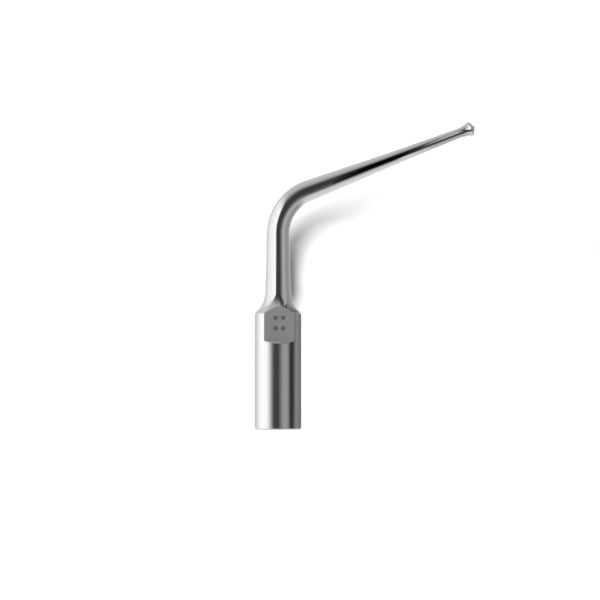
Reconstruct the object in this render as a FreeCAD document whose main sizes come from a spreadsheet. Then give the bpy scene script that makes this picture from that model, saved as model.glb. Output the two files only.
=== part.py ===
import FreeCAD, Part
import math
import os
import Sketcher

# Ultrasonic elevator tip: a turned screw-on coupling hub, a tapered shank that is bent over, and a small
# flared working head, joined by two sleeves of brazing alloy. Millimetres and degrees.
# The origin is the centre of the hub's seating face on the thread axis. +Z runs up the hub, the arm leans
# over towards +X, and the marked wrench flat faces -Y.

DIMENSIONS = [
    # coupling hub, outside
    ("hub_diameter", 4.40, "outside diameter of the coupling hub"),
    ("hub_length", 11.00, "seating face to the edge where the flare begins"),
    ("seat_chamfer", 0.12, "edge break round the seating face"),
    ("shoulder_round", 0.20, "rounding of the edge between barrel and flare"),
    ("flare_radius", 2.87, "radius of the hollow curve from barrel to neck"),
    ("neck_diameter", 2.42, "where hub and shank meet"),
    # wrench flats and index mark
    ("flat_across", 3.30, "distance across the two wrench flats"),
    ("flat_length", 2.60, "shoulder down to the lower end of the flats"),
    ("flat_ramp", 22.0, "slope of the cutter's run-out below each flat, from square"),
    ("pip_diameter", 0.42, "each of the four pips of the index mark"),
    ("pip_depth", 0.04, "depth of a pip below the flat"),
    ("pip_pitch_across", 0.72, "centre distance of the pips across the flat"),
    ("pip_pitch_along", 0.98, "centre distance of the pips along the hub"),
    ("mark_drop", 0.95, "shoulder down to the middle of the index mark"),
    # passage through the hub
    ("thread_bore", 2.46, "crest diameter of the M3 x 0.5 female thread"),
    ("thread_lead_in", 0.37, "width of the chamfer at the thread's mouth"),
    ("thread_depth", 6.30, "seating face to the end of the bore's full diameter"),
    ("drill_point", 118.0, "included angle of the bore's conical end"),
    ("water_bore", 0.80, "water way between the thread and the shank"),
    # brazed joints
    ("root_spigot", 1.60, "diameter of the shank's spigot in the hub"),
    ("root_spigot_length", 2.50, "length of the shank's spigot"),
    ("root_gap", 0.04, "radial gap that the hub's brazing alloy fills"),
    ("head_spigot", 0.50, "diameter of the head's spigot in the arm"),
    ("head_spigot_length", 1.20, "length of the head's spigot"),
    ("head_gap", 0.03, "radial gap that the head's brazing alloy fills"),
    ("spigot_relief", 0.10, "free depth left below each spigot's end"),
    # shank, along its centre line
    ("corner_rise", 8.33, "neck to the corner of the centre line, measured up"),
    ("arm_rise", 21.05, "slope of the arm above the seating face"),
    ("bend_radius", 4.36, "radius of the bend at the centre line"),
    ("arm_length", 18.35, "corner of the centre line to the head's joint"),
    ("bend_start_diameter", 2.16, "shank diameter where the bend starts"),
    ("bend_end_diameter", 2.00, "shank diameter where the bend ends"),
    ("middle_diameter", 1.39, "arm diameter halfway along its straight"),
    ("wrist_diameter", 1.165, "arm diameter halfway from its middle to the head"),
    ("tip_diameter", 0.98, "where arm and head meet"),
    # irrigation
    ("duct_diameter", 0.50, "water duct along the shank"),
    ("outlet_setback", 3.75, "head's joint back to the end of the duct"),
    ("outlet_diameter", 0.36, "spray outlet under the arm"),
    ("outlet_slant", 45.0, "lean of the outlet towards the head"),
    # working head
    ("head_flare_length", 1.29, "joint to the rim"),
    ("rim_diameter", 1.45, "outside diameter of the rim"),
    ("rim_land", 0.08, "width of the straight band at the rim"),
    ("cone_height", 0.41, "rim to the point that the face's cone runs to"),
    ("nose_radius", 0.08, "rounding of the cone's point"),
]

doc = FreeCAD.newDocument("elevator_tip")
sheet = doc.addObject("Spreadsheet::Sheet", "dims")
for row, (alias, size, meaning) in enumerate(DIMENSIONS, start=1):
    sheet.set(f"A{row}", meaning)
    sheet.set(f"B{row}", str(size))
    sheet.setAlias(f"B{row}", alias)
doc.recompute()

# Lengths that follow from the driving ones, as expressions on the sheet.
HUB_RADIUS = "dims.hub_diameter / 2"
NECK_RADIUS = "dims.neck_diameter / 2"
FLAT_DISTANCE = "dims.flat_across / 2"
FLAT_START = "(dims.hub_length - dims.flat_length)"
BORE_RADIUS = "dims.thread_bore / 2"
MOUTH_RADIUS = "(dims.thread_bore / 2 + dims.thread_lead_in)"
WATER_RADIUS = "dims.water_bore / 2"
FLARE_OVERHANG = f"(dims.flare_radius - {HUB_RADIUS} + {NECK_RADIUS})"
NECK_HEIGHT = f"(dims.hub_length + sqrt(dims.flare_radius ^ 2 - {FLARE_OVERHANG} ^ 2))"
ROOT_SOCKET_RADIUS = "(dims.root_spigot / 2 + dims.root_gap)"
ROOT_SOCKET_FLOOR = f"({NECK_HEIGHT} - dims.root_spigot_length - dims.spigot_relief)"
DRILL_POINT_HEIGHT = f"(({BORE_RADIUS} - {WATER_RADIUS}) / tan(dims.drill_point / 2 * 1 deg))"
TURN = "(90 - dims.arm_rise)"
BEND_TANGENT = f"(dims.bend_radius * tan({TURN} / 2 * 1 deg))"
BEND_START = f"(dims.corner_rise - {BEND_TANGENT})"
ARM_MIDDLE = f"({BEND_TANGENT} + dims.arm_length) / 2"
ARM_WRIST = f"({ARM_MIDDLE} + dims.arm_length) / 2"
DUCT_END = "(dims.arm_length - dims.outlet_setback)"
HEAD_SOCKET_DIAMETER = "(dims.head_spigot + 2 * dims.head_gap)"
TIP_RADIUS = "dims.tip_diameter / 2"
RIM_RADIUS = "dims.rim_diameter / 2"

# How closely an edge is matched when it is looked up by its place.
FINE = 1e-6


def value(expression):
    """The expression's size now, as a number."""
    return float(sheet.evalExpression(expression))


def arm_point(distance):
    """The X and Z, as expressions, of a point on the arm's centre line this far past the corner."""
    across = f"({distance}) * cos(dims.arm_rise * 1 deg)"
    up = f"dims.corner_rise + ({distance}) * sin(dims.arm_rise * 1 deg)"
    return across, up


def new_body(label):
    body = doc.addObject("PartDesign::Body", label)
    body.Label = label
    return body


def origin_plane(body, role):
    return next(item for item in body.Origin.OriginFeatures if item.Role == role)


def new_sketch(body, name, role="XZ_Plane", offset=None, turn=None):
    """A sketch on one of the body's origin planes, moved by offset and turned about the plane's Y axis."""
    sketch = body.newObject("Sketcher::SketchObject", name)
    sketch.AttachmentSupport = (origin_plane(body, role), [""])
    sketch.MapMode = "FlatFace"
    if turn:
        tilt = FreeCAD.Rotation(FreeCAD.Vector(0, 1, 0), value(turn))
        sketch.AttachmentOffset = FreeCAD.Placement(FreeCAD.Vector(), tilt)
        sketch.setExpression("AttachmentOffset.Rotation.Angle", turn)
    for axis, expression in (offset or {}).items():
        sketch.setExpression(f"AttachmentOffset.Base.{axis}", expression)
    return sketch


def bind(sketch, constraint, name, expression):
    index = sketch.addConstraint(constraint)
    sketch.renameConstraint(index, name)
    sketch.setExpression(f"Constraints.{name}", expression)


def pin_point(sketch, geometry, end, name, place):
    """Holds a point at its two expressions, or on an axis where one of them is zero."""
    for kind, axis, expression in (("DistanceX", -2, place[0]), ("DistanceY", -1, place[1])):
        if expression == "0":
            sketch.addConstraint(Sketcher.Constraint("PointOnObject", geometry, end, axis))
        else:
            size = value(expression)
            bind(sketch, Sketcher.Constraint(kind, geometry, end, size), f"{name}_{kind[-1]}", expression)


def arc_centre(start, end, radius, left):
    """The centre of the short arc from start to end, on the left or the right of the way along it."""
    chord = end - start
    reach = math.sqrt(radius**2 - (chord.Length / 2) ** 2)
    side = FreeCAD.Vector(-chord.y, chord.x, 0).normalize()
    return (start + end) / 2 + side * (reach if left else -reach)


def draw_line(sketch, corners, arcs=None, closed=True):
    """Draws straight runs from corner to corner. arcs gives, by the number of the corner that an arc starts
    at, its radius as an expression and whether its centre is on the left."""
    arcs = arcs or {}
    points = [FreeCAD.Vector(value(x), value(y), 0) for x, y in corners]
    count = len(points)
    ends = []
    for index in range(count if closed else count - 1):
        start, end = points[index], points[(index + 1) % count]
        if index in arcs:
            radius, left = arcs[index]
            centre = arc_centre(start, end, value(radius), left)
            circle = Part.Circle(centre, FreeCAD.Vector(0, 0, 1), value(radius))
            first, last = (start, end) if left else (end, start)
            angles = [math.atan2(point.y - centre.y, point.x - centre.x) for point in (first, last)]
            geometry = sketch.addGeometry(Part.ArcOfCircle(circle, *angles), False)
            ends.append((geometry, 1, 2) if left else (geometry, 2, 1))
        else:
            geometry = sketch.addGeometry(Part.LineSegment(start, end), False)
            ends.append((geometry, 1, 2))
    for index, (geometry, start_end, far_end) in enumerate(ends):
        pin_point(sketch, geometry, start_end, f"corner{index}", corners[index])
        if closed or index + 1 < len(ends):
            following = ends[(index + 1) % len(ends)]
            sketch.addConstraint(
                Sketcher.Constraint("Coincident", geometry, far_end, following[0], following[1])
            )
        else:
            pin_point(sketch, geometry, far_end, f"corner{index + 1}", corners[index + 1])
    for index, (radius, _) in arcs.items():
        constraint = Sketcher.Constraint("Radius", ends[index][0], value(radius))
        bind(sketch, constraint, f"arc{index}", radius)


def draw_circle(sketch, diameter, centre=("0", "0"), name="circle"):
    place = FreeCAD.Vector(value(centre[0]), value(centre[1]), 0)
    circle = Part.Circle(place, FreeCAD.Vector(0, 0, 1), value(diameter) / 2)
    geometry = sketch.addGeometry(circle, False)
    pin_point(sketch, geometry, 3, name, centre)
    bind(sketch, Sketcher.Constraint("Diameter", geometry, value(diameter)), f"{name}_size", diameter)


def turn_profile(body, kind, name, corners, arcs=None):
    """Turns a closed outline in the XZ plane about Z. kind is Revolution or Groove."""
    sketch = new_sketch(body, f"{name}_profile")
    draw_line(sketch, corners, arcs)
    feature = body.newObject(f"PartDesign::{kind}", name)
    feature.Profile = sketch
    feature.ReferenceAxis = (sketch, ["V_Axis"])
    feature.Angle = 360
    doc.recompute()
    return feature


def round_edge(feature, radius, height):
    """The name of the feature's circular edge of this radius at this height."""
    for index, edge in enumerate(feature.Shape.Edges, start=1):
        curve = edge.Curve
        if isinstance(curve, Part.Circle) and math.isclose(curve.Radius, radius, abs_tol=FINE):
            if math.isclose(curve.Center.z, height, abs_tol=FINE):
                return f"Edge{index}"
    raise ValueError(f"{feature.Label} has no round edge of radius {radius} at height {height}")


def dress_edge(body, kind, name, base, height, size_name, size):
    """A Fillet or a Chamfer on the barrel's round edge at this height."""
    edge = round_edge(base, value(HUB_RADIUS), value(height))
    feature = body.newObject(f"PartDesign::{kind}", name)
    feature.Base = (base, [edge])
    feature.setExpression(size_name, size)
    doc.recompute()
    return feature


# --- coupling hub: turned bar, threaded inside, two milled wrench flats -----------------------------------
hub = new_body("coupling_hub")
barrel = turn_profile(
    hub,
    "Revolution",
    "barrel",
    [
        ("0", "0"),
        (HUB_RADIUS, "0"),
        (HUB_RADIUS, "dims.hub_length"),
        (NECK_RADIUS, NECK_HEIGHT),
        ("0", NECK_HEIGHT),
    ],
    arcs={2: ("dims.flare_radius", False)},
)
seat_break = dress_edge(hub, "Chamfer", "seat_break", barrel, "0", "Size", "dims.seat_chamfer")
dress_edge(hub, "Fillet", "shoulder", seat_break, "dims.hub_length", "Radius", "dims.shoulder_round")

# Lead-in, thread bore with its drilled end, water bore and the socket for the shank, from the seat up.
turn_profile(
    hub,
    "Groove",
    "passage",
    [
        ("0", "0"),
        (MOUTH_RADIUS, "0"),
        (BORE_RADIUS, "dims.thread_lead_in"),
        (BORE_RADIUS, "dims.thread_depth"),
        (WATER_RADIUS, f"dims.thread_depth + {DRILL_POINT_HEIGHT}"),
        (WATER_RADIUS, ROOT_SOCKET_FLOOR),
        (ROOT_SOCKET_RADIUS, ROOT_SOCKET_FLOOR),
        (ROOT_SOCKET_RADIUS, NECK_HEIGHT),
        ("0", NECK_HEIGHT),
    ],
)

# One wrench flat is milled away down to its floor, with the cutter's sloping run-out below, and mirrored.
flat_sketch = new_sketch(hub, "flat_profile", "YZ_Plane")
run_out = f"(dims.hub_diameter - {FLAT_DISTANCE}) * tan(dims.flat_ramp * 1 deg)"
draw_line(
    flat_sketch,
    [
        (f"-{FLAT_DISTANCE}", FLAT_START),
        (f"-{FLAT_DISTANCE}", NECK_HEIGHT),
        ("-dims.hub_diameter", NECK_HEIGHT),
        ("-dims.hub_diameter", f"{FLAT_START} - {run_out}"),
    ],
)
flat = hub.newObject("PartDesign::Pocket", "wrench_flat")
flat.Profile = flat_sketch
flat.Type = "ThroughAll"
flat.Midplane = True
doc.recompute()
second_flat = hub.newObject("PartDesign::Mirrored", "second_flat")
second_flat.Originals = [flat]
second_flat.MirrorPlane = (origin_plane(hub, "XZ_Plane"), [""])
hub.Tip = second_flat
doc.recompute()

# The index mark: four round pips in the flat that faces -Y.
mark_sketch = new_sketch(hub, "mark_profile", offset={"z": FLAT_DISTANCE})
for across, side in ((-1, "left"), (1, "right")):
    for along, level in ((-1, "lower"), (1, "upper")):
        centre = (
            f"{across} * dims.pip_pitch_across / 2",
            f"dims.hub_length - dims.mark_drop + {along} * dims.pip_pitch_along / 2",
        )
        draw_circle(mark_sketch, "dims.pip_diameter", centre, f"{level}_{side}_pip")
mark = hub.newObject("PartDesign::Pocket", "index_mark")
mark.Profile = mark_sketch
mark.setExpression("Length", "dims.pip_depth")
doc.recompute()

# --- bent shank: drilled bar, ground to a taper and bent, in a frame of its own at the hub's neck ---------
shank = new_body("bent_shank")
shank.setExpression("Placement.Base.z", NECK_HEIGHT)


def draw_centre_line(name, start_height, distance):
    """The shank's centre line, from a height on the hub's axis to a distance along the arm."""
    sketch = new_sketch(shank, name)
    corners = [("0", start_height), ("0", BEND_START), arm_point(BEND_TANGENT), arm_point(distance)]
    draw_line(sketch, corners, arcs={1: ("dims.bend_radius", False)}, closed=False)
    return sketch


def shank_section(name, diameter, height=None, distance=None):
    """A circle square to the centre line, at a height on the hub's axis or a distance along the arm."""
    if distance:
        across, up = arm_point(distance)
        sketch = new_sketch(shank, name, "XY_Plane", {"x": across, "z": up}, TURN)
    else:
        sketch = new_sketch(shank, name, "XY_Plane", {"z": height})
    draw_circle(sketch, diameter)
    return sketch


bar_line = draw_centre_line("bar_line", "0", "dims.arm_length")
root_section = shank_section("root_section", "dims.neck_diameter", height="0")
later_sections = [
    shank_section("bend_start_section", "dims.bend_start_diameter", height=BEND_START),
    shank_section("bend_end_section", "dims.bend_end_diameter", distance=BEND_TANGENT),
    shank_section("middle_section", "dims.middle_diameter", distance=ARM_MIDDLE),
    shank_section("wrist_section", "dims.wrist_diameter", distance=ARM_WRIST),
    shank_section("tip_section", "dims.tip_diameter", distance="dims.arm_length"),
]
bar = shank.newObject("PartDesign::AdditivePipe", "tapered_bar")
bar.Profile = root_section
bar.Spine = (bar_line, [])
bar.Transformation = "Multisection"
bar.Sections = later_sections
doc.recompute()

# The spigot that goes down into the hub.
spigot = shank.newObject("PartDesign::Pad", "root_spigot")
spigot.Profile = shank_section("spigot_section", "dims.root_spigot", height="0")
spigot.setExpression("Length", "dims.root_spigot_length")
spigot.Reversed = True
doc.recompute()

# The socket for the head's spigot, bored back into the arm's end.
socket = shank.newObject("PartDesign::Pocket", "head_socket")
socket.Profile = shank_section("socket_section", HEAD_SOCKET_DIAMETER, distance="dims.arm_length")
socket.setExpression("Length", "dims.head_spigot_length + dims.spigot_relief")
doc.recompute()

# The water duct, drilled along the bar before it was bent, from the spigot's end to the outlet.
duct = shank.newObject("PartDesign::SubtractivePipe", "water_duct")
duct.Profile = shank_section("duct_section", "dims.duct_diameter", height="-dims.root_spigot_length")
duct.Spine = (draw_centre_line("duct_line", "-dims.root_spigot_length", DUCT_END), [])
doc.recompute()

# The outlet breaks out under the arm, leaning towards the head.
outlet_across, outlet_up = arm_point(f"{DUCT_END} - dims.duct_diameter / 2")
outlet_turn = f"({TURN} + 90 - dims.outlet_slant)"
outlet_sketch = new_sketch(
    shank, "outlet_section", "XY_Plane", {"x": outlet_across, "z": outlet_up}, outlet_turn
)
draw_circle(outlet_sketch, "dims.outlet_diameter")
outlet = shank.newObject("PartDesign::Pocket", "spray_outlet")
outlet.Profile = outlet_sketch
outlet.setExpression("Length", "dims.bend_end_diameter")
outlet.Reversed = True
doc.recompute()

# --- working head: a hollow flare, a narrow band at the rim and a blunt cone, along its own Z --------------
head = new_body("working_head")
head_across, head_up = arm_point("dims.arm_length")


def place_on_arm(body):
    """Sets a body's own Z along the arm, with its origin where the arm ends."""
    body.Placement = FreeCAD.Placement(
        FreeCAD.Vector(), FreeCAD.Rotation(FreeCAD.Vector(0, 1, 0), value(TURN))
    )
    body.setExpression("Placement.Base.x", head_across)
    body.setExpression("Placement.Base.z", f"{NECK_HEIGHT} + {head_up}")
    body.setExpression("Placement.Rotation.Angle", TURN)


place_on_arm(head)
SPIGOT_RADIUS = "dims.head_spigot / 2"
RIM_TOP = "(dims.head_flare_length + dims.rim_land)"
SLANT = f"atan({RIM_RADIUS} / dims.cone_height)"
NOSE_CENTRE = f"({RIM_TOP} + dims.cone_height - dims.nose_radius / sin({SLANT}))"
# The flare's radius makes its curve start in line with the arm.
flare_step = f"({RIM_RADIUS} - {TIP_RADIUS})"
flare_curve = f"(dims.head_flare_length ^ 2 + {flare_step} ^ 2) / (2 * {flare_step})"
turn_profile(
    head,
    "Revolution",
    "flared_head",
    [
        ("0", "-dims.head_spigot_length"),
        (SPIGOT_RADIUS, "-dims.head_spigot_length"),
        (SPIGOT_RADIUS, "0"),
        (TIP_RADIUS, "0"),
        (RIM_RADIUS, "dims.head_flare_length"),
        (RIM_RADIUS, RIM_TOP),
        (f"dims.nose_radius * cos({SLANT})", f"{NOSE_CENTRE} + dims.nose_radius * sin({SLANT})"),
        ("0", f"{NOSE_CENTRE} + dims.nose_radius"),
    ],
    arcs={3: (flare_curve, False), 6: ("dims.nose_radius", True)},
)

# --- brazing alloy: a thin sleeve round each spigot ---------------------------------------------------------


def braze_sleeve(label, spigot_radius, gap, length, top):
    sleeve = new_body(label)
    outside = f"{spigot_radius} + {gap}"
    bottom = f"{top} - {length}"
    corners = [(spigot_radius, bottom), (outside, bottom), (outside, top), (spigot_radius, top)]
    turn_profile(sleeve, "Revolution", f"{label}_ring", corners)
    return sleeve


neck_braze = braze_sleeve(
    "neck_braze", "dims.root_spigot / 2", "dims.root_gap", "dims.root_spigot_length", NECK_HEIGHT
)
head_braze = braze_sleeve("head_braze", SPIGOT_RADIUS, "dims.head_gap", "dims.head_spigot_length", "0")
place_on_arm(head_braze)
doc.recompute()

# --- check every object, then write each piece --------------------------------------------------------------
for item in doc.Objects:
    if "Invalid" in item.State or "Error" in item.State:
        raise RuntimeError(f"{item.Label} did not rebuild: {item.State}")

pieces = [hub, shank, head, neck_braze, head_braze]
for piece in pieces:
    if piece.Shape.isNull() or not piece.Shape.isValid():
        raise RuntimeError(f"{piece.Label} has no valid shape")

os.makedirs("parts", exist_ok=True)
for piece in pieces:
    piece.Shape.exportStep(f"parts/{piece.Label}.step")
    print(f"{piece.Label}: {len(piece.Shape.Solids)} solid, {piece.Shape.Volume:.3f} mm3")
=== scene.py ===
import math
import bmesh
import bpy
from mathutils import Matrix, Vector


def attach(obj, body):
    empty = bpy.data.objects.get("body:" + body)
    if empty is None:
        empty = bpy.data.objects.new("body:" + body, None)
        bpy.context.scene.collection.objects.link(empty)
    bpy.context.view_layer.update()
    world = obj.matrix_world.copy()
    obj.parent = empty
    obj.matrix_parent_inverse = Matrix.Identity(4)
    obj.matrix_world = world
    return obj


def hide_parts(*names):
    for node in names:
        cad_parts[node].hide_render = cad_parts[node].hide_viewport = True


# Ultrasonic elevator tip: a threaded steel hub, a tapered bar bent over, and a small flared head.
# Pieces are shaped in millimetres and turned to metres when they are finished. The hub's seating face
# is at height 0, the thread axis is Z, and the arm leans over towards +X.

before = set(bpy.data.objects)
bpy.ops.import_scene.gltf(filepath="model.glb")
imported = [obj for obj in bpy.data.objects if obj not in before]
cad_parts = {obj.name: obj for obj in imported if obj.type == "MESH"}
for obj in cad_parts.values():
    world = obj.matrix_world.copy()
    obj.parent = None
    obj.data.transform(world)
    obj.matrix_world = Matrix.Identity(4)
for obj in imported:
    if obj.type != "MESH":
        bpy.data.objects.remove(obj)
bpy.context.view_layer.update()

# --- Coupling hub -------------------------------------------------------------------------------------------
# A barrel of stainless bar, turned and polished outside, with a hollow flare up to the neck. It is drilled
# and tapped M3 x 0.5 from below, bored for water, and counterbored at the neck for the shank's spigot.
HUB_RADIUS = 2.20
SEAT_CHAMFER = 0.12
SHOULDER = 11.00
SHOULDER_ROUND = 0.20
FLARE_RADIUS = 2.87
NECK_RADIUS = 1.21
CREST_RADIUS = 1.23
THREAD_ROOT = 1.50
LEAD_IN = 0.37
THREAD_PITCH = 0.50
THREAD_TURNS = 11
THREAD_STEPS = 72
BORE_END = 6.30
DRILL_SLOPE = 59
WATER_RADIUS = 0.40
SOCKET_RADIUS = 0.84
SOCKET_DEPTH = 2.60
ROUND_STEPS = 96
SHOULDER_STEPS = 6
FLARE_STEPS = 20
# Points closer than this are taken as one.
WELD = 0.0005

flare_centre = NECK_RADIUS + FLARE_RADIUS
NECK = SHOULDER + math.sqrt(FLARE_RADIUS**2 - (flare_centre - HUB_RADIUS) ** 2)
# The shoulder's rounding touches both the barrel and the flare.
round_centre = HUB_RADIUS - SHOULDER_ROUND
flare_sweep = math.degrees(math.acos((flare_centre - round_centre) / (FLARE_RADIUS + SHOULDER_ROUND)))
round_height = NECK - (FLARE_RADIUS + SHOULDER_ROUND) * math.sin(math.radians(flare_sweep))


def draw_outline(bm, start, *moves):
    """Draws a line in the XZ plane from a start point and returns its two ends. A move of two numbers is a
    straight run to that radius and height. One of four is a curve: centre, degrees clockwise and steps."""
    first = tip = bm.verts.new((start[0], 0, start[1]))
    for move in moves:
        if len(move) == 2:
            tip = bmesh.ops.extrude_vert_indiv(bm, verts=[tip])["verts"][0]
            tip.co = (move[0], 0, move[1])
        else:
            centre = (move[0], 0, move[1])
            angle = math.radians(move[2])
            swept = bmesh.ops.spin(bm, geom=[tip], cent=centre, axis=(0, 1, 0), angle=angle, steps=move[3])
            tip = next(part for part in swept["geom_last"] if isinstance(part, bmesh.types.BMVert))
    return first, tip


def turn_on_lathe(bm):
    """Turns the outline about Z into a closed solid with its faces outwards."""
    outline = bm.verts[:] + bm.edges[:]
    bmesh.ops.spin(
        bm, geom=outline, cent=(0, 0, 0), axis=(0, 0, 1), angle=math.tau, steps=ROUND_STEPS, use_merge=True
    )
    bmesh.ops.remove_doubles(bm, verts=bm.verts, dist=WELD)
    bmesh.ops.recalc_face_normals(bm, faces=bm.faces)


hub_mesh = bmesh.new()
drill_top = BORE_END + (CREST_RADIUS - WATER_RADIUS) / math.tan(math.radians(DRILL_SLOPE))
ends = draw_outline(
    hub_mesh,
    (CREST_RADIUS + LEAD_IN, 0),
    (HUB_RADIUS - SEAT_CHAMFER, 0),
    (HUB_RADIUS, SEAT_CHAMFER),
    (HUB_RADIUS, round_height),
    (round_centre, round_height, -flare_sweep, SHOULDER_STEPS),
    (flare_centre, NECK, flare_sweep, FLARE_STEPS),
    (SOCKET_RADIUS, NECK),
    (SOCKET_RADIUS, NECK - SOCKET_DEPTH),
    (WATER_RADIUS, NECK - SOCKET_DEPTH),
    (WATER_RADIUS, drill_top),
    (CREST_RADIUS, BORE_END),
    (CREST_RADIUS, BORE_END - THREAD_PITCH),
    (THREAD_ROOT, BORE_END - THREAD_PITCH - (THREAD_ROOT - CREST_RADIUS)),
    (THREAD_ROOT, CREST_RADIUS + LEAD_IN - THREAD_ROOT),
)
hub_mesh.edges.new(ends)
turn_on_lathe(hub_mesh)

# Two wrench flats, milled with a sloping run-out below, and the broken edge all round each. A flat is first
# cut too deep by the edge break, then raised again as it is inset, which leaves the break's small facets.
FLAT_DISTANCE = 1.65
FLAT_START = 8.40
RAMP_SLOPE = math.radians(22)
EDGE_BREAK_DEPTH = 0.045
EDGE_BREAK_WIDTH = 0.06
# Points this near a cut are moved onto it.
SNAP = 0.02
TURNED, POLISHED, MILLED, ETCHED, TAPPED = range(5)

flats = []
for side in (-1, 1):
    flat_out = Vector((0, side, 0))
    ramp_out = Vector((0, side * math.sin(RAMP_SLOPE), math.cos(RAMP_SLOPE)))
    heel = Vector((0, side * FLAT_DISTANCE, FLAT_START))
    cuts = [(heel - out * EDGE_BREAK_DEPTH, out) for out in (flat_out, ramp_out)]
    for place, out in cuts:
        near = [face for face in hub_mesh.faces if face.calc_center_median().y * side > 0]
        half = list(dict.fromkeys(part for face in near for part in (face, *face.edges, *face.verts)))
        bmesh.ops.bisect_plane(hub_mesh, geom=half, dist=SNAP, plane_co=place, plane_no=out)
        for vert in hub_mesh.verts:
            off = (vert.co - place).dot(out)
            if abs(off) < SNAP and vert.co.z > FLAT_START - HUB_RADIUS:
                vert.co -= out * off
    milled_away = [
        face
        for face in hub_mesh.faces
        if all((face.calc_center_median() - place).dot(out) > 0 for place, out in cuts)
    ]
    bmesh.ops.delete(hub_mesh, geom=milled_away, context="FACES")
    rim = [edge for edge in hub_mesh.edges if edge.is_boundary]
    corners = {vert for edge in rim for vert in edge.verts}
    heel_ends = [
        vert
        for vert in corners
        if all(abs((vert.co - place).dot(out)) < WELD for place, out in cuts)
    ]
    heel_edge = hub_mesh.edges.new(heel_ends)
    made = []
    for place, out in cuts:
        loop = [
            edge
            for edge in rim
            if all(abs((vert.co - place).dot(out)) < WELD for vert in edge.verts)
        ]
        made += bmesh.ops.contextual_create(hub_mesh, geom=loop + [heel_edge])["faces"]
    for face, (place, out) in zip(made, cuts):
        face.normal_update()
        if face.normal.dot(out) < 0:
            face.normal_flip()
        face.material_index = MILLED
    broken = bmesh.ops.inset_region(
        hub_mesh,
        faces=made,
        use_boundary=True,
        use_even_offset=True,
        thickness=EDGE_BREAK_WIDTH,
        depth=EDGE_BREAK_DEPTH,
    )["faces"]
    for face in broken:
        face.material_index = POLISHED
    flat, ramp = made
    flats.append(flat)
    for vert in flat.verts:
        vert.co.y = side * FLAT_DISTANCE
    for vert in set(flat.verts) & set(ramp.verts):
        vert.co.z = FLAT_START

# The index mark: four round pips, burnt a little way into the flat that faces -Y.
PIP_RADIUS = 0.21
PIP_DEPTH = 0.04
PIP_PITCH_ACROSS = 0.72
PIP_PITCH_ALONG = 0.98
PIP_STEPS = 32
MARK_DROP = 0.95
MARK_HEIGHT = SHOULDER - MARK_DROP
# A face whose normal rises or falls this much lies square to the axis.
LEVEL = 0.99

front = flats[0]
outline = list(front.edges)
bmesh.ops.delete(hub_mesh, geom=[front], context="FACES_ONLY")
pips = []
for across in (-1, 1):
    for along in (-1, 1):
        rise = MARK_HEIGHT + along * PIP_PITCH_ALONG / 2
        stand = Matrix.Translation((across * PIP_PITCH_ACROSS / 2, -FLAT_DISTANCE, rise))
        facing = Matrix.Rotation(math.radians(90), 4, "X")
        drawn = bmesh.ops.create_circle(
            hub_mesh, cap_ends=False, radius=PIP_RADIUS, segments=PIP_STEPS, matrix=stand @ facing
        )["verts"]
        pips.append([edge for edge in hub_mesh.edges if edge.verts[0] in drawn])
filled = bmesh.ops.triangle_fill(
    hub_mesh, edges=outline + [edge for pip in pips for edge in pip], use_beauty=True, normal=(0, -1, 0)
)["geom"]
for part in filled:
    if isinstance(part, bmesh.types.BMFace):
        part.material_index = MILLED
for pip in pips:
    sunk = bmesh.ops.extrude_edge_only(hub_mesh, edges=pip)["geom"]
    walls = [part for part in sunk if isinstance(part, bmesh.types.BMFace)]
    floor_verts = [part for part in sunk if isinstance(part, bmesh.types.BMVert)]
    bmesh.ops.translate(hub_mesh, verts=floor_verts, vec=(0, PIP_DEPTH, 0))
    sides = [part for part in sunk if isinstance(part, bmesh.types.BMEdge)]
    floor_edges = [edge for edge in sides if all(vert in floor_verts for vert in edge.verts)]
    floors = bmesh.ops.contextual_create(hub_mesh, geom=floor_edges)["faces"]
    for face in walls + floors:
        face.material_index = ETCHED
bmesh.ops.recalc_face_normals(hub_mesh, faces=hub_mesh.faces)
for face in hub_mesh.faces:
    middle = face.calc_center_median()
    looks_inwards = face.normal.x * middle.x + face.normal.y * middle.y < 0
    is_step = math.hypot(middle.x, middle.y) < THREAD_ROOT and abs(face.normal.z) > LEVEL
    if face.material_index == TURNED and (looks_inwards or is_step):
        face.material_index = TAPPED
    elif face.material_index == TURNED and middle.z > round_height:
        face.material_index = POLISHED

# The thread's ridge: one tooth of the M3 profile carried up round the bore, faded out by the lead-in. It is
# an eighth of a pitch to each side of its middle at the crest and seven sixteenths at its root.
HALF_CREST = THREAD_PITCH / 8
HALF_ROOT = THREAD_PITCH * 7 / 16
SUNK = 0.02
tooth = [
    hub_mesh.verts.new((radius, 0, THREAD_PITCH / 2 + aside))
    for radius, aside in (
        (THREAD_ROOT + SUNK, -HALF_ROOT),
        (CREST_RADIUS, -HALF_CREST),
        (CREST_RADIUS, HALF_CREST),
        (THREAD_ROOT + SUNK, HALF_ROOT),
    )
]
tooth_face = hub_mesh.faces.new(tooth)
before = set(hub_mesh.verts)
bmesh.ops.spin(
    hub_mesh,
    geom=[tooth_face, *tooth_face.edges, *tooth],
    cent=(0, 0, 0),
    axis=(0, 0, 1),
    dvec=(0, 0, THREAD_PITCH / THREAD_STEPS),
    angle=math.tau * THREAD_TURNS,
    steps=THREAD_STEPS * THREAD_TURNS,
)
ridge = [vert for vert in hub_mesh.verts if vert not in before] + tooth
for vert in ridge:
    radius = math.hypot(vert.co.x, vert.co.y)
    faded = max(radius, CREST_RADIUS + LEAD_IN - vert.co.z)
    vert.co.x *= faded / radius
    vert.co.y *= faded / radius
ridge_faces = list(dict.fromkeys(face for vert in ridge for face in vert.link_faces))
for face in ridge_faces:
    face.material_index = TAPPED
bmesh.ops.recalc_face_normals(hub_mesh, faces=ridge_faces)


# Pieces are drawn in millimetres, but textures and the finished pieces are in metres.
MILLIMETRE = 0.001
PER_METRE = 1000
SHARP = math.radians(30)
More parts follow.
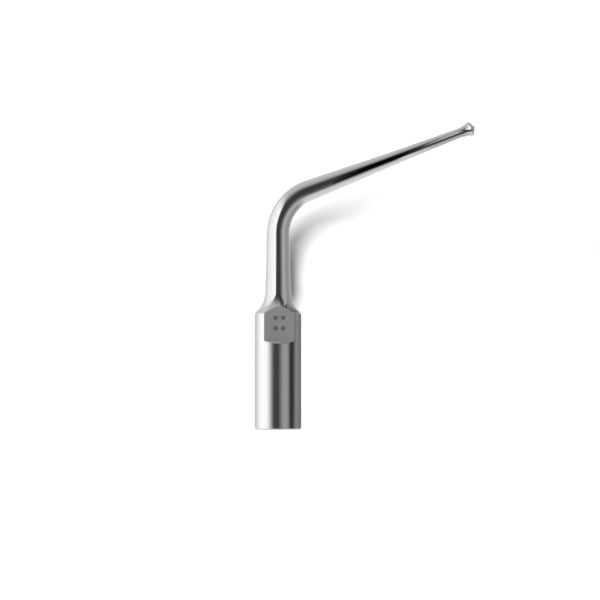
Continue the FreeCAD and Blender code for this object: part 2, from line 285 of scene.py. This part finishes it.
# Nearly all of a noise's values lie between these two.
NOISE_LOW = 0.3
NOISE_HIGH = 0.7


def linear(code):
    """A colour given as an sRGB hex value, in the linear values that a shader takes."""
    shares = [int(code[place : place + 2], 16) / 255 for place in (1, 3, 5)]
    straight_end = [share / 12.92 for share in shares]
    curve = [((share + 0.055) / 1.055) ** 2.4 for share in shares]
    return [low if low < 0.0031308 else high for low, high in zip(straight_end, curve)] + [1.0]


def add_node(tree, kind, inputs, **settings):
    """Adds a shader node with its settings. Each input, by name or number, is a value or another's output."""
    node = tree.nodes.new(f"ShaderNode{kind}")
    for name, setting in settings.items():
        setattr(node, name, setting)
    for name, setting in inputs.items():
        if isinstance(setting, bpy.types.NodeSocket):
            tree.links.new(setting, node.inputs[name])
        else:
            node.inputs[name].default_value = setting
    return node


def new_material(name):
    """A new material with nothing in it, and its node tree."""
    material = bpy.data.materials.new(name)
    material.use_nodes = True
    material.node_tree.nodes.clear()
    return material, material.node_tree


def stretched(tree, place, across, along):
    """Texture coordinates for marks of these sizes, in millimetres, across the Z axis and along it."""
    wide, high = PER_METRE / across, PER_METRE / along
    return add_node(tree, "Mapping", {"Vector": place, "Scale": (wide, wide, high)}).outputs[0]


def tinted(tree, pattern, dark, light):
    """A colour that varies between two with the pattern."""
    mix = add_node(tree, "MixRGB", {"Fac": pattern, "Color1": linear(dark), "Color2": linear(light)})
    return mix.outputs[0]


def varied(tree, noise, low, high):
    """A roughness that varies between two values with the noise."""
    spread = add_node(
        tree,
        "MapRange",
        {"Value": noise, "From Min": NOISE_LOW, "From Max": NOISE_HIGH, "To Min": low, "To Max": high},
    )
    return spread.outputs[0]


def close_steel(tree, colour, roughness, height, bump):
    """Ends a steel's tree in a metal surface. bump is the depth, in metres, of its marks at height 1."""
    relief = add_node(tree, "Bump", {"Strength": 1.0, "Distance": bump, "Height": height})
    metal = add_node(
        tree,
        "BsdfPrincipled",
        {"Base Color": colour, "Metallic": 1.0, "Roughness": roughness, "Normal": relief.outputs[0]},
    )
    add_node(tree, "OutputMaterial", {"Surface": metal.outputs[0]})


# Turned stainless: polished on the lathe, so its faint marks run round the axis. Their real pitch of
# 0.03 mm can't be seen, so they are drawn 0.12 mm apart.
TURNING_PITCH = 0.12
TURNING_RUN = 6.7
TURNING_DEPTH = 3e-8
SMEAR_SIZE = 2.4
TURNED_ROUGHNESS = (0.12, 0.16)
turned, tree = new_material("turned_stainless")
place = add_node(tree, "TexCoord", {}).outputs["Object"]
rings = stretched(tree, place, TURNING_RUN, TURNING_PITCH)
marks = add_node(
    tree, "TexNoise", {"Vector": rings, "Scale": 1.0, "Detail": 4.0, "Roughness": 0.6}
).outputs[0]
smears = add_node(
    tree, "TexNoise", {"Vector": place, "Scale": PER_METRE / SMEAR_SIZE, "Detail": 3.0}
).outputs[0]
worn = varied(tree, smears, *TURNED_ROUGHNESS)
tint = tinted(tree, marks, "#cacaca", "#d2d2d2")
close_steel(tree, tint, worn, marks, TURNING_DEPTH)

# Polished stainless: buffed along its length to a near mirror, with hair-fine streaks left lengthwise. They
# are about 0.01 mm wide, and drawn at 0.05 mm.
STREAK_WIDTH = 0.05
STREAK_LENGTH = 2.9
STREAK_DEPTH = 2e-8
HAZE_SIZE = 2.9
POLISHED_ROUGHNESS = (0.05, 0.08)
polished, tree = new_material("polished_stainless")
place = add_node(tree, "Attribute", {}, attribute_name="straight").outputs["Vector"]
pulled = stretched(tree, place, STREAK_WIDTH, STREAK_LENGTH)
streaks = add_node(tree, "TexNoise", {"Vector": pulled, "Scale": 1.0, "Detail": 3.0}).outputs[0]
haze = add_node(tree, "TexNoise", {"Vector": place, "Scale": PER_METRE / HAZE_SIZE, "Detail": 2.0}).outputs[0]
buffed = varied(tree, haze, *POLISHED_ROUGHNESS)
tint = tinted(tree, streaks, "#cccccc", "#d4d4d4")
close_steel(tree, tint, buffed, streaks, STREAK_DEPTH)

# Milled stainless: the wrench flats, satin from a fine end mill whose passes cross the flat.
CUTTER_PITCH = 0.09
CUTTER_RUN = 1.4
CUTTER_DEPTH = 4e-7
MILLED_ROUGHNESS = (0.54, 0.64)
milled, tree = new_material("milled_stainless")
place = add_node(tree, "TexCoord", {}).outputs["Object"]
passes = stretched(tree, place, CUTTER_RUN, CUTTER_PITCH)
grain = add_node(
    tree, "TexNoise", {"Vector": passes, "Scale": 1.0, "Detail": 5.0, "Roughness": 0.7}
).outputs[0]
tint = tinted(tree, grain, "#d6d6d6", "#e0e0e0")
satin = varied(tree, grain, *MILLED_ROUGHNESS)
close_steel(tree, tint, satin, grain, CUTTER_DEPTH)

# Laser-burnt stainless: the pips, dull and darker, with the beam's fine mottle.
MOTTLE_SIZE = 0.07
MOTTLE_DEPTH = 3e-7
BURNT_ROUGHNESS = 0.5
etched, tree = new_material("laser_burnt_stainless")
place = add_node(tree, "TexCoord", {}).outputs["Object"]
mottle = add_node(
    tree, "TexNoise", {"Vector": place, "Scale": PER_METRE / MOTTLE_SIZE, "Detail": 3.0}
).outputs[0]
tint = tinted(tree, mottle, "#9a9a9a", "#b0b0b0")
close_steel(tree, tint, BURNT_ROUGHNESS, mottle, MOTTLE_DEPTH)

# Tapped stainless: the drilled and threaded inside, duller than the outside, with drag marks round it.
DRAG_PITCH = 0.06
DRAG_RUN = 1.1
DRAG_DEPTH = 1e-6
TAPPED_ROUGHNESS = 0.34
tapped, tree = new_material("tapped_stainless")
place = add_node(tree, "TexCoord", {}).outputs["Object"]
drag = stretched(tree, place, DRAG_RUN, DRAG_PITCH)
scores = add_node(tree, "TexNoise", {"Vector": drag, "Scale": 1.0, "Detail": 4.0}).outputs[0]
tint = tinted(tree, scores, "#a9a9a8", "#bcbcbb")
close_steel(tree, tint, TAPPED_ROUGHNESS, scores, DRAG_DEPTH)


def finish_piece(bm, name, *materials):
    """Makes the mesh a smooth-shaded object, in metres."""
    bmesh.ops.scale(bm, vec=[MILLIMETRE] * 3, verts=bm.verts)
    mesh = bpy.data.meshes.new(name)
    bm.to_mesh(mesh)
    bm.free()
    for material in materials:
        mesh.materials.append(material)
    mesh.shade_smooth()
    mesh.set_sharp_from_angle(angle=SHARP)
    piece = bpy.data.objects.new(name, mesh)
    bpy.context.scene.collection.objects.link(piece)
    shading = piece.modifiers.new("even_shading", "WEIGHTED_NORMAL")
    shading.keep_sharp = True
    return piece


straight = hub_mesh.verts.layers.float_vector.new("straight")
for vert in hub_mesh.verts:
    vert[straight] = vert.co * MILLIMETRE
hub = finish_piece(hub_mesh, "threaded_hub", turned, polished, milled, etched, tapped)
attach(hub, "root")
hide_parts("coupling_hub")

# --- Bent shank ---------------------------------------------------------------------------------------------
# A stainless bar, drilled for water, ground to a long taper, bent over and mirror polished. A spigot below
# is brazed into the hub, a socket at the far end takes the head, and the spray leaves under the arm.
# The bar's radius at heights above the neck, before it is bent.
TAPER = [
    (0, 1.21),
    (2.6, 1.121),
    (5.34, 1.08),
    (10.59, 1.00),
    (14.1, 0.869),
    (17.6, 0.721),
    (21.6, 0.594),
    (25.95, 0.49),
]
BEND_RADIUS = 4.36
CORNER_RISE = 8.33
ARM_LENGTH = 18.35
ARM_RISE = math.radians(21.05)
SPIGOT_RADIUS = 0.80
SPIGOT_LENGTH = 2.50
DUCT_RADIUS = 0.25
OUTLET_RADIUS = 0.18
OUTLET_SETBACK = 3.75
OUTLET_SLANT = math.radians(45)
DRILL_LENGTH = 3
DRILL_STEPS = 40
HEAD_SOCKET_RADIUS = 0.28
HEAD_SOCKET_DEPTH = 1.30
RING_PITCH = 0.16

turn = math.pi / 2 - ARM_RISE
tangent = BEND_RADIUS * math.tan(turn / 2)
bend_start = CORNER_RISE - tangent
bend_length = BEND_RADIUS * turn
bar_length = bend_start + bend_length + ARM_LENGTH - tangent


def bar_radius(height):
    """The bar's radius at a height above the neck, on a smooth curve through the taper's sizes."""
    slopes = [(b[1] - a[1]) / (b[0] - a[0]) for a, b in zip(TAPER, TAPER[1:])]
    slopes = [slopes[0]] + [(a + b) / 2 for a, b in zip(slopes, slopes[1:])] + [slopes[-1]]
    for low, high, rise_in, rise_out in zip(TAPER, TAPER[1:], slopes, slopes[1:]):
        if height <= high[0] + WELD:
            break
    span = high[0] - low[0]
    share = (height - low[0]) / span
    ease = share * share * (3 - 2 * share)
    bow_in = span * rise_in * share * (1 - share) ** 2
    bow_out = span * rise_out * share**2 * (share - 1)
    return low[1] + (high[1] - low[1]) * ease + bow_in + bow_out


def along_bar(start, end, radius_at):
    """Evenly spaced straight moves from one height to another."""
    count = math.ceil(abs(end - start) / RING_PITCH)
    heights = [start + (end - start) * step / count for step in range(1, count + 1)]
    return [(radius_at(height), height) for height in heights]


shank_mesh = bmesh.new()
duct_end = bar_length - OUTLET_SETBACK
draw_outline(
    shank_mesh,
    (0, duct_end),
    (DUCT_RADIUS, duct_end),
    *along_bar(duct_end, -SPIGOT_LENGTH, lambda height: DUCT_RADIUS),
    (SPIGOT_RADIUS, -SPIGOT_LENGTH),
    (SPIGOT_RADIUS, 0),
    (NECK_RADIUS, 0),
    *along_bar(0, bar_length, bar_radius),
    (HEAD_SOCKET_RADIUS, bar_length),
    (HEAD_SOCKET_RADIUS, bar_length - HEAD_SOCKET_DEPTH),
    (0, bar_length - HEAD_SOCKET_DEPTH),
)
turn_on_lathe(shank_mesh)


def mesh_object(bm, name):
    """An object of the mesh as it is, in the mesh's own units."""
    mesh = bpy.data.meshes.new(name)
    bm.to_mesh(mesh)
    bm.free()
    made = bpy.data.objects.new(name, mesh)
    bpy.context.scene.collection.objects.link(made)
    return made


# The outlet is drilled from the arm's underside into the duct, leaning towards the head.
drill_mesh = bmesh.new()
lean = Matrix.Translation((0, 0, duct_end - DUCT_RADIUS)) @ Matrix.Rotation(OUTLET_SLANT, 4, "Y")
bmesh.ops.create_cone(
    drill_mesh,
    cap_ends=True,
    segments=DRILL_STEPS,
    radius1=OUTLET_RADIUS,
    radius2=OUTLET_RADIUS,
    depth=DRILL_LENGTH,
    matrix=lean @ Matrix.Translation((0, 0, DRILL_LENGTH / 2)),
)
blank = mesh_object(shank_mesh, "bar_blank")
drill = mesh_object(drill_mesh, "outlet_drill")
drilling = blank.modifiers.new("spray_outlet", "BOOLEAN")
drilling.object = drill
drilling.operation = "DIFFERENCE"
drilling.solver = "EXACT"
drilled = bpy.data.meshes.new_from_object(blank.evaluated_get(bpy.context.evaluated_depsgraph_get()))
shank_mesh = bmesh.new()
shank_mesh.from_mesh(drilled)
for scrap in (blank, drill):
    bpy.data.objects.remove(scrap)

# The bar is bent last. "straight" keeps where each point was before, so that polishing marks follow it.
straight = shank_mesh.verts.layers.float_vector.new("straight")
pivot = Vector((BEND_RADIUS, 0, bend_start))
for vert in shank_mesh.verts:
    vert[straight] = vert.co * MILLIMETRE
    along = min(max(vert.co.z - bend_start, 0), bend_length)
    vert.co.z -= along
    vert.co = pivot + Matrix.Rotation(along / BEND_RADIUS, 3, "Y") @ (vert.co - pivot)
bmesh.ops.translate(shank_mesh, verts=shank_mesh.verts, vec=(0, 0, NECK))

shank = finish_piece(shank_mesh, "drawn_shank", polished)
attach(shank, "root")
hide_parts("bent_shank")

# --- Working head -------------------------------------------------------------------------------------------
# A little stainless trumpet brazed into the arm's end. Its flare and narrow rim are polished like the arm,
# and the blunt cone that lifts the tissue is ground dull.
HEAD_SPIGOT_RADIUS = 0.25
HEAD_SPIGOT_LENGTH = 1.20
TIP_RADIUS = 0.49
RIM_RADIUS = 0.725
HEAD_FLARE_LENGTH = 1.29
RIM_LAND = 0.08
RIM_BREAK = 0.012
CONE_HEIGHT = 0.41
NOSE_RADIUS = 0.08
HEAD_STEPS = 24
NOSE_STEPS = 6
GROUND_SLOT = 1

head_mesh = bmesh.new()
flare_step = RIM_RADIUS - TIP_RADIUS
head_curve = (HEAD_FLARE_LENGTH**2 + flare_step**2) / (2 * flare_step)
head_sweep = math.degrees(math.asin(HEAD_FLARE_LENGTH / head_curve))
rim_top = HEAD_FLARE_LENGTH + RIM_LAND
slant = math.degrees(math.atan(RIM_RADIUS / CONE_HEIGHT))
nose_centre = rim_top + CONE_HEIGHT - NOSE_RADIUS / math.sin(math.radians(slant))
draw_outline(
    head_mesh,
    (0, -HEAD_SPIGOT_LENGTH),
    (HEAD_SPIGOT_RADIUS, -HEAD_SPIGOT_LENGTH),
    (HEAD_SPIGOT_RADIUS, 0),
    (TIP_RADIUS, 0),
    (TIP_RADIUS + head_curve, 0, head_sweep, HEAD_STEPS),
    (RIM_RADIUS, rim_top),
    (
        NOSE_RADIUS * math.cos(math.radians(slant)),
        nose_centre + NOSE_RADIUS * math.sin(math.radians(slant)),
    ),
    (0, nose_centre, slant - 90, NOSE_STEPS),
)
turn_on_lathe(head_mesh)
rim_edges = [
    edge
    for edge in head_mesh.edges
    if all(abs(math.hypot(vert.co.x, vert.co.y) - RIM_RADIUS) < WELD for vert in edge.verts)
    and abs(edge.verts[0].co.z - edge.verts[1].co.z) < WELD
]
bmesh.ops.bevel(
    head_mesh, geom=rim_edges, offset=RIM_BREAK, affect="EDGES", segments=3, profile=0.5, material=-1
)
straight = head_mesh.verts.layers.float_vector.new("straight")
for vert in head_mesh.verts:
    vert[straight] = vert.co * MILLIMETRE
for face in head_mesh.faces:
    if face.calc_center_median().z > rim_top + RIM_BREAK / 2:
        face.material_index = GROUND_SLOT
arm_end = Vector(
    (ARM_LENGTH * math.cos(ARM_RISE), 0, NECK + CORNER_RISE + ARM_LENGTH * math.sin(ARM_RISE))
)
bmesh.ops.transform(
    head_mesh, matrix=Matrix.Translation(arm_end) @ Matrix.Rotation(turn, 4, "Y"), verts=head_mesh.verts
)

# Ground stainless: the cone, dulled by a fine wheel that leaves rings about 0.05 mm apart.
GRINDING_PITCH = 0.05
GRINDING_RUN = 2.0
GRINDING_DEPTH = 5e-7
GROUND_ROUGHNESS = 0.3
ground, tree = new_material("ground_stainless")
place = add_node(tree, "Attribute", {}, attribute_name="straight").outputs["Vector"]
rings = stretched(tree, place, GRINDING_RUN, GRINDING_PITCH)
grit = add_node(tree, "TexNoise", {"Vector": rings, "Scale": 1.0, "Detail": 4.0}).outputs[0]
tint = tinted(tree, grit, "#c4c4c4", "#d0d0d0")
close_steel(tree, tint, GROUND_ROUGHNESS, grit, GRINDING_DEPTH)

head = finish_piece(head_mesh, "flared_head", polished, ground)
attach(head, "root")
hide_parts("working_head")

# --- Brazed joints ------------------------------------------------------------------------------------------
# A film of silver brazing alloy fills the gap round each spigot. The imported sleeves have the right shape
# and lie hidden in the joints, so they only take their metal here.
FLOW_SIZE = 0.33
FLOW_DEPTH = 2e-6
BRAZE_ROUGHNESS = 0.32
brazed, tree = new_material("silver_brazing_alloy")
place = add_node(tree, "TexCoord", {}).outputs["Object"]
flow = add_node(tree, "TexNoise", {"Vector": place, "Scale": PER_METRE / FLOW_SIZE, "Detail": 3.0}).outputs[0]
tint = tinted(tree, flow, "#cfc7b0", "#ddd6c4")
close_steel(tree, tint, BRAZE_ROUGHNESS, flow, FLOW_DEPTH)
for name in ("neck_braze", "head_braze"):
    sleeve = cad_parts[name].data
    sleeve.materials.clear()
    sleeve.materials.append(brazed)

# --- Studio -------------------------------------------------------------------------------------------------
# A white paper floor, a white card that leans back behind the shank, and white paper all round for the
# camera. None of them shows in the steel, which reflects the sky and the cards of the light section.
FLOOR_RADIUS = 0.60
SURROUND_RADIUS = 1.00
CARD_WIDTH = 0.30
CARD_HEIGHT = 0.30
# The card stands CARD_FOOT behind the axis up to CARD_BREAK, leans back to CARD_BACK at CARD_TOP, and is
# upright again above. An edge at CARD_FLAT keeps the shading of its lower part flat.
CARD_FOOT = 0.0024
CARD_BACK = 0.0085
CARD_FLAT = 0.0125
CARD_BREAK = 0.0160
CARD_TOP = 0.0215
CARD_CURVE = 0.002
FLOOR_ALBEDO = 0.35
FLOOR_GLOW = [(-1, 0.66), (1, 0.66)]
CARD_ALBEDO = 0.25
# Painted light: the card glows more the higher it is. This brightens its leaned part, where the main light
# falls weaker, and sets how light its cast shadow is at each height.
CARD_GLOW = [(0, 0.05), (15.5, 0.08), (18, 0.17), (20, 0.29), (22, 0.38), (40, 0.40)]


def light_ramp(tree, place, stops, unit):
    """Brightness that eases from stop to stop. Their places are counted in the unit."""
    first, last = stops[0][0], stops[-1][0]
    share = add_node(
        tree, "MapRange", {"Value": place, "From Min": first * unit, "From Max": last * unit}
    ).outputs[0]
    ramp = add_node(tree, "ValToRGB", {"Fac": share})
    ramp.color_ramp.interpolation = "EASE"
    marks = ramp.color_ramp.elements
    # A new mark starts halfway, and is then moved to its place.
    while len(marks) < len(stops):
        marks.new(0.5)
    for mark, (stop, bright) in zip(marks, stops):
        mark.position = (stop - first) / (last - first)
        mark.color = (bright, bright, bright, 1)
    return ramp.outputs[0]


def close_one_sided(tree, front):
    """Ends a tree in a surface that shows its front and is clear from behind."""
    clear = add_node(tree, "BsdfTransparent", {"Color": (1, 1, 1, 1)})
    behind = add_node(tree, "NewGeometry", {}).outputs["Backfacing"]
    sided = add_node(tree, "MixShader", {0: behind, 1: front.outputs[0], 2: clear.outputs[0]})
    add_node(tree, "OutputMaterial", {"Surface": sided.outputs[0]})


def new_paper(name, albedo, glows):
    """White paper that also glows a little, a painted light that keeps it white. glows gives how much at
    heights in millimetres. From behind it lets the camera through."""
    material, tree = new_material(name)
    matt = add_node(tree, "BsdfDiffuse", {"Color": (albedo, albedo, albedo, 1)})
    spot = add_node(tree, "TexCoord", {}).outputs["Object"]
    height = add_node(tree, "SeparateXYZ", {"Vector": spot}).outputs["Z"]
    light = add_node(tree, "Emission", {"Color": light_ramp(tree, height, glows, MILLIMETRE)})
    paper = add_node(tree, "AddShader", {0: matt.outputs[0], 1: light.outputs[0]})
    close_one_sided(tree, paper)
    return material


def stage_piece(bm, name, material):
    """A piece of the studio, which doesn't show in the steel unless it is told to."""
    piece = mesh_object(bm, name)
    piece.data.materials.append(material)
    piece.visible_glossy = False
    return piece


floor_mesh = bmesh.new()
bmesh.ops.create_circle(floor_mesh, cap_ends=True, radius=FLOOR_RADIUS, segments=ROUND_STEPS)
stage_piece(floor_mesh, "paper_floor", new_paper("floor_paper", FLOOR_ALBEDO, FLOOR_GLOW))

card_mesh = bmesh.new()
foot = card_mesh.verts.new((-CARD_WIDTH / 2, CARD_FOOT, 0))
line = [foot]
for back, height in (
    (CARD_FOOT, CARD_FLAT),
    (CARD_FOOT, CARD_BREAK),
    (CARD_BACK, CARD_TOP),
    (CARD_BACK, CARD_HEIGHT),
):
    step = bmesh.ops.extrude_vert_indiv(card_mesh, verts=[line[-1]])["verts"][0]
    step.co = (-CARD_WIDTH / 2, back, height)
    line.append(step)
bmesh.ops.bevel(
    card_mesh, geom=line[2:4], offset=CARD_CURVE, affect="VERTICES", segments=8, profile=0.5, material=-1
)
swept = bmesh.ops.extrude_edge_only(card_mesh, edges=card_mesh.edges[:])["geom"]
far_side = [part for part in swept if isinstance(part, bmesh.types.BMVert)]
bmesh.ops.translate(card_mesh, verts=far_side, vec=(CARD_WIDTH, 0, 0))
bmesh.ops.recalc_face_normals(card_mesh, faces=card_mesh.faces)
if sum(face.normal.y for face in card_mesh.faces) > 0:
    bmesh.ops.reverse_faces(card_mesh, faces=card_mesh.faces)
card = stage_piece(card_mesh, "leaning_card", new_paper("card_paper", CARD_ALBEDO, CARD_GLOW))
card.data.shade_smooth()

surround_mesh = bmesh.new()
bmesh.ops.create_icosphere(surround_mesh, subdivisions=4, radius=SURROUND_RADIUS)
surround_paper, tree = new_material("surround_paper")
glow = add_node(tree, "Emission", {"Color": (1, 1, 1, 1), "Strength": 1.0})
add_node(tree, "OutputMaterial", {"Surface": glow.outputs[0]})
surround = stage_piece(surround_mesh, "paper_surround", surround_paper)
surround.visible_diffuse = False
surround.visible_shadow = False
surround.visible_transmission = False

# --- Camera -------------------------------------------------------------------------------------------------
# A long lens, a little to the left of square on and just above the floor.
CAMERA_AZIMUTH = math.radians(-5)
CAMERA_DISTANCE = 0.350
CAMERA_HEIGHT = 0.003
CAMERA_AIM = Vector((0.002090, 0, 0.01227))
FRAME_WIDTH = 0.0567
SENSOR_WIDTH = 36
CLIP_START = 0.01
CLIP_END = 5

camera_data = bpy.data.cameras.new("studio_camera")
camera_data.sensor_width = SENSOR_WIDTH
camera_data.lens = camera_data.sensor_width * CAMERA_DISTANCE / FRAME_WIDTH
camera_data.clip_start = CLIP_START
camera_data.clip_end = CLIP_END
camera = bpy.data.objects.new("studio_camera", camera_data)
bpy.context.scene.collection.objects.link(camera)
camera.location = CAMERA_AIM + Vector(
    (CAMERA_DISTANCE * math.sin(CAMERA_AZIMUTH), -CAMERA_DISTANCE * math.cos(CAMERA_AZIMUTH), 0)
)
camera.location.z = CAMERA_HEIGHT
camera.rotation_euler = (CAMERA_AIM - camera.location).to_track_quat("-Z", "Y").to_euler()
bpy.context.scene.camera = camera

# --- Light --------------------------------------------------------------------------------------------------
# A sky that shows in the steel: a large soft box to the left, a grey wall to the right, and a dark gap
# between them in front. AROUND gives its brightness by azimuth, which is 0 at the camera and grows to the
# right. ABOVE and BELOW give it by the angle away from the camera, for rays that go steeply up or down.
STUDIO_STRENGTH = 1.6
AROUND = [
    (-180, 0.60),
    (-135, 0.58),
    (-85, 0.83),
    (-24, 0.97),
    (-14, 0.045),
    (14, 0.04),
    (58, 0.38),
    (92, 0.26),
    (126, 0.29),
    (180, 0.50),
]
ABOVE = [(0, 0.04), (26, 0.045), (74, 0.42), (118, 0.54), (145, 0.42), (180, 0.38)]
ABOVE_RIGHT = 0.20
BELOW = [(0, 0.04), (34, 0.045), (70, 0.58), (130, 0.67), (180, 0.67)]
DEGREE = math.radians(1)
# ABOVE dims to the right, from all of its brightness at the first of these to ABOVE_RIGHT of it at the
# second.
RIGHT_FADE = (0.05, 0.35)
# How steep a ray is where AROUND starts to give way, and where ABOVE or BELOW alone counts.
STEEP_FADE = (math.radians(36), math.radians(56))


def face_camera(tree, ray):
    """Turns a direction to the camera's side. Returns its parts, the one towards the camera, and its
    azimuth."""
    squared = add_node(tree, "Mapping", {"Vector": ray, "Rotation": (0, 0, -CAMERA_AZIMUTH)}).outputs[0]
    way = add_node(tree, "SeparateXYZ", {"Vector": squared})
    fore = add_node(tree, "Math", {0: way.outputs["Y"], 1: -1.0}, operation="MULTIPLY").outputs[0]
    azimuth = add_node(tree, "Math", {0: way.outputs["X"], 1: fore}, operation="ARCTAN2").outputs[0]
    return way, fore, azimuth


studio = bpy.data.worlds.new("studio")
bpy.context.scene.world = studio
studio.use_nodes = True
tree = studio.node_tree
tree.nodes.clear()
ray = add_node(tree, "TexCoord", {}).outputs["Generated"]
way, fore, azimuth = face_camera(tree, ray)
polar = add_node(tree, "Math", {0: fore}, operation="ARCCOSINE").outputs[0]
around = light_ramp(tree, azimuth, AROUND, DEGREE)
above = light_ramp(tree, polar, ABOVE, DEGREE)
below = light_ramp(tree, polar, BELOW, DEGREE)
skyward = add_node(tree, "Math", {0: way.outputs["Z"], 1: 0.0}, operation="GREATER_THAN").outputs[0]
rightward = add_node(
    tree,
    "MapRange",
    {
        "Value": way.outputs["X"],
        "From Min": RIGHT_FADE[0],
        "From Max": RIGHT_FADE[1],
        "To Min": 1.0,
        "To Max": ABOVE_RIGHT,
    },
    interpolation_type="SMOOTHSTEP",
).outputs[0]
roof = add_node(
    tree, "MixRGB", {"Fac": 1.0, "Color1": above, "Color2": rightward}, blend_type="MULTIPLY"
).outputs[0]
upright = add_node(tree, "MixRGB", {"Fac": skyward, "Color1": below, "Color2": roof}).outputs[0]
lift = add_node(tree, "Math", {0: way.outputs["Z"]}, operation="ABSOLUTE").outputs[0]
level = add_node(tree, "Math", {0: way.outputs["X"]}, operation="ABSOLUTE").outputs[0]
steepness = add_node(tree, "Math", {0: lift, 1: level}, operation="ARCTAN2").outputs[0]
blend = add_node(
    tree,
    "MapRange",
    {"Value": steepness, "From Min": STEEP_FADE[0], "From Max": STEEP_FADE[1]},
    interpolation_type="SMOOTHSTEP",
).outputs[0]
bright = add_node(tree, "MixRGB", {"Fac": blend, "Color1": around, "Color2": upright}).outputs[0]
sky = add_node(tree, "Background", {"Color": bright, "Strength": STUDIO_STRENGTH})
add_node(tree, "OutputWorld", {"Surface": sky.outputs[0]})

# A low ring of cards round the hub, with a black one to its right. HUB_AROUND gives its
# brightness by azimuth.
RING_RADIUS = 0.008
RING_TOP = 0.0113
RING_BOTTOM = -0.0005
HUB_AROUND = [
    (-180, 0.45),
    (-135, 0.50),
    (-72, 1.00),
    (-54, 0.95),
    (-14, 0.045),
    (-2, 0.045),
    (28, 0.31),
    (38, 0.30),
    (59, 0.025),
    (66, 0.025),
    (90, 0.215),
    (98, 0.22),
    (130, 0.14),
    (180, 0.30),
]

ring_mesh = bmesh.new()
bmesh.ops.create_cone(
    ring_mesh,
    cap_ends=False,
    segments=ROUND_STEPS,
    radius1=RING_RADIUS,
    radius2=RING_RADIUS,
    depth=RING_TOP - RING_BOTTOM,
    matrix=Matrix.Translation((0, 0, (RING_TOP + RING_BOTTOM) / 2)),
)
ring_light, tree = new_material("ring_of_cards")
spot = add_node(tree, "TexCoord", {}).outputs["Object"]
way, fore, azimuth = face_camera(tree, spot)
glow = add_node(
    tree, "Emission", {"Color": light_ramp(tree, azimuth, HUB_AROUND, DEGREE), "Strength": STUDIO_STRENGTH}
)
add_node(tree, "OutputMaterial", {"Surface": glow.outputs[0]})
ring = stage_piece(ring_mesh, "ring_of_cards", ring_light)


def hung_card(name, centre, size, turn, shades):
    """A card hung by its centre and turned. shades gives its brightness at places along X, in millimetres.
    Only the steel that its bright side faces sees it."""
    bm = bmesh.new()
    stand = Matrix.Translation(centre) @ turn @ Matrix.Diagonal((*size, 1, 1))
    bmesh.ops.create_grid(bm, x_segments=1, y_segments=1, size=0.5, matrix=stand)
    material, tree = new_material(name)
    spot = add_node(tree, "TexCoord", {}).outputs["Object"]
    across = add_node(tree, "SeparateXYZ", {"Vector": spot}).outputs["X"]
    shade = light_ramp(tree, across, shades, MILLIMETRE)
    glow = add_node(tree, "Emission", {"Color": shade, "Strength": STUDIO_STRENGTH})
    close_one_sided(tree, glow)
    return stage_piece(bm, name, material)


# A black card close before the arm, hung along it.
ARM_CARD_PLACE = (0.0099, -0.0040, 0.0254)
ARM_CARD_SIZE = (0.0092, 0.0045)
ARM_SHADES = [(5.6, 0.04), (6.6, 0.014), (8.8, 0.002), (12.3, 0.002), (14.2, 0.035)]

facing_up = Matrix()
facing_down = Matrix.Rotation(math.radians(180), 4, "X")
facing_back = Matrix.Rotation(math.radians(-90), 4, "X")
along_arm = Matrix.Rotation(-ARM_RISE, 4, "Y") @ facing_back
arm_card = hung_card("arm_card", ARM_CARD_PLACE, ARM_CARD_SIZE, along_arm, ARM_SHADES)

# Three cards round the head: a grey one upright before it, a dark one level above it, and a lighter one
# level below it that darkens to the right.
TIP_CARD_PLACE = (0.0226, -0.012, 0.0368)
TIP_CARD_SIZE = (0.0152, 0.0140)
TIP_SHADES = [(0, 0.42), (40, 0.42)]
ROOF_PLACE = (0.0226, -0.0020, 0.0395)
ROOF_SIZE = (0.0152, 0.0134)
ROOF_SHADES = [(0, 0.17), (40, 0.17)]
APRON_PLACE = (0.0250, -0.0050, 0.0190)
APRON_SIZE = (0.0170, 0.014)
APRON_SHADES = [(16.5, 0.62), (18.4, 0.52), (20.5, 0.38), (34, 0.34)]

tip_card = hung_card("tip_card", TIP_CARD_PLACE, TIP_CARD_SIZE, facing_back, TIP_SHADES)
tip_roof = hung_card("tip_roof", ROOF_PLACE, ROOF_SIZE, facing_down, ROOF_SHADES)
tip_apron = hung_card("tip_apron", APRON_PLACE, APRON_SIZE, facing_up, APRON_SHADES)
for cards in (ring, arm_card, tip_card, tip_roof, tip_apron):
    cards.visible_glossy = True
    cards.visible_camera = False
    cards.visible_diffuse = False
    cards.visible_shadow = False
    cards.visible_transmission = False

# The main light, from the front, a little above and to the left. It lights the paper, where the shank and
# the head cast a soft shadow to the lower right, and doesn't show in the steel.
KEY_DISTANCE = 0.40
KEY_SIZE = 0.18
KEY_POWER = 6.4
KEY_WAY = Vector((-0.40, -1.0, 0.21)).normalized()
KEY_AIM = Vector((0, 0, 0.016))

key_data = bpy.data.lights.new("main_light", "AREA")
key_data.shape = "DISK"
key_data.size = KEY_SIZE
key_data.energy = KEY_POWER
key = bpy.data.objects.new("main_light", key_data)
bpy.context.scene.collection.objects.link(key)
key.location = KEY_AIM + KEY_WAY * KEY_DISTANCE
key.rotation_euler = KEY_WAY.to_track_quat("Z", "Y").to_euler()
key.visible_glossy = False
key.visible_camera = False
blockers = bpy.data.collections.new("casts_main_shadow")
blockers.objects.link(shank)
blockers.objects.link(head)
key.light_linking.blocker_collection = blockers

bpy.context.scene.view_settings.view_transform = "Standard"
